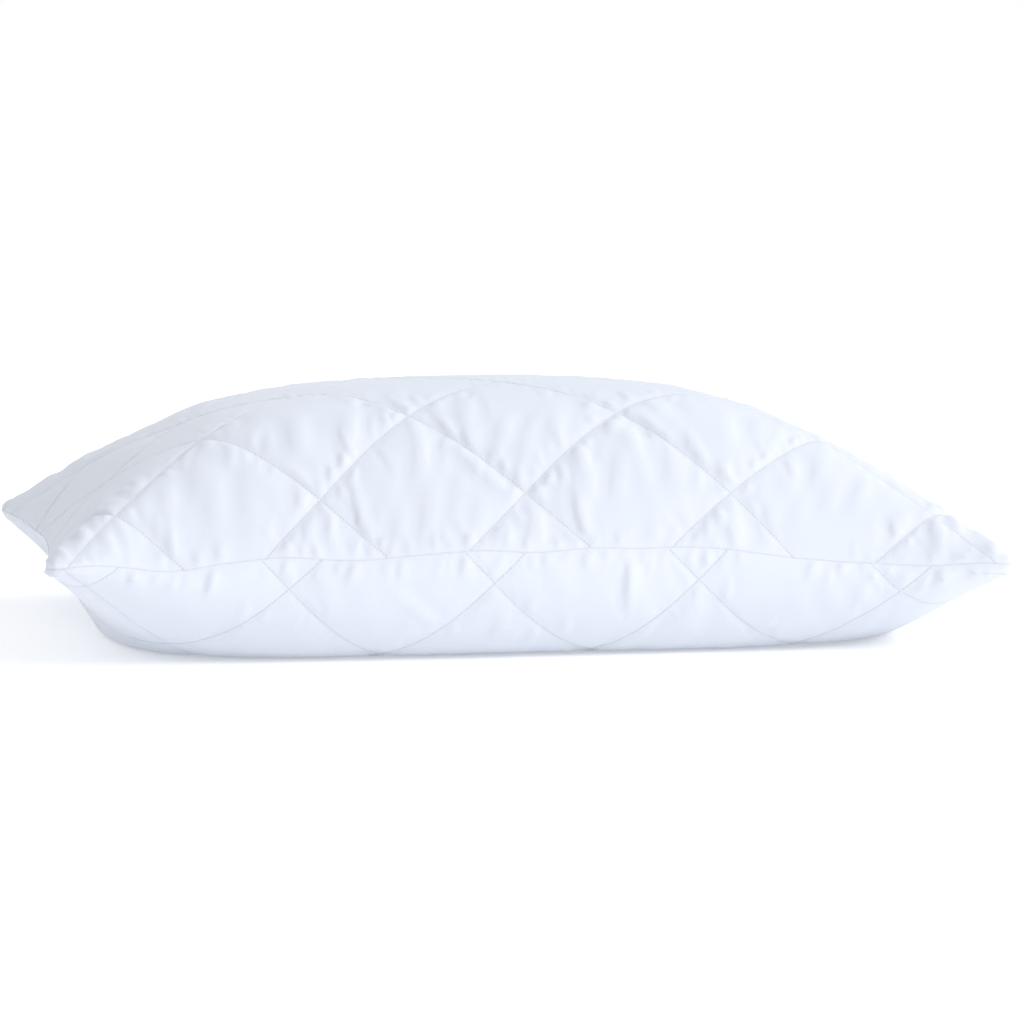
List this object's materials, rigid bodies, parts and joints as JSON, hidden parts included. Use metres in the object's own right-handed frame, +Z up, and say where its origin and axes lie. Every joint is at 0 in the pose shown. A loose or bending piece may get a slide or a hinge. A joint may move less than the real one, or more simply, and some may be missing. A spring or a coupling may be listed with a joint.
{
  "type": "bed pillow",
  "caption": "Rectangular bed pillow with a diamond-quilted white cover, plain seamed edge and loose fibre filling, lying flat.",
  "frame": {"origin": "on the floor under the middle of the pillow's length and depth", "axes": "+X along the pillow's length, +Y from its front long edge to its rear long edge, +Z up"},
  "size_m": [0.7046, 0.4448, 0.1896],
  "materials": {
    "face_fabric": "matte",
    "wadding": "matte",
    "lining": "matte",
    "sewing_thread": "satin",
    "fibre": "matte",
    "label_tape": "satin"
  },
  "bodies": {
    "root": {"top_face_fabric": "face_fabric", "top_wadding": "wadding", "top_lining": "lining", "top_quilting_thread": "sewing_thread", "bottom_face_fabric": "face_fabric", "bottom_wadding": "wadding", "bottom_lining": "lining", "bottom_quilting_thread": "sewing_thread", "fibre_fill": "fibre", "perimeter_seam_thread": "sewing_thread", "closing_seam_thread": "sewing_thread", "seam_overlock_thread": "sewing_thread", "care_label": "label_tape"}
  },
  "joints": []
}
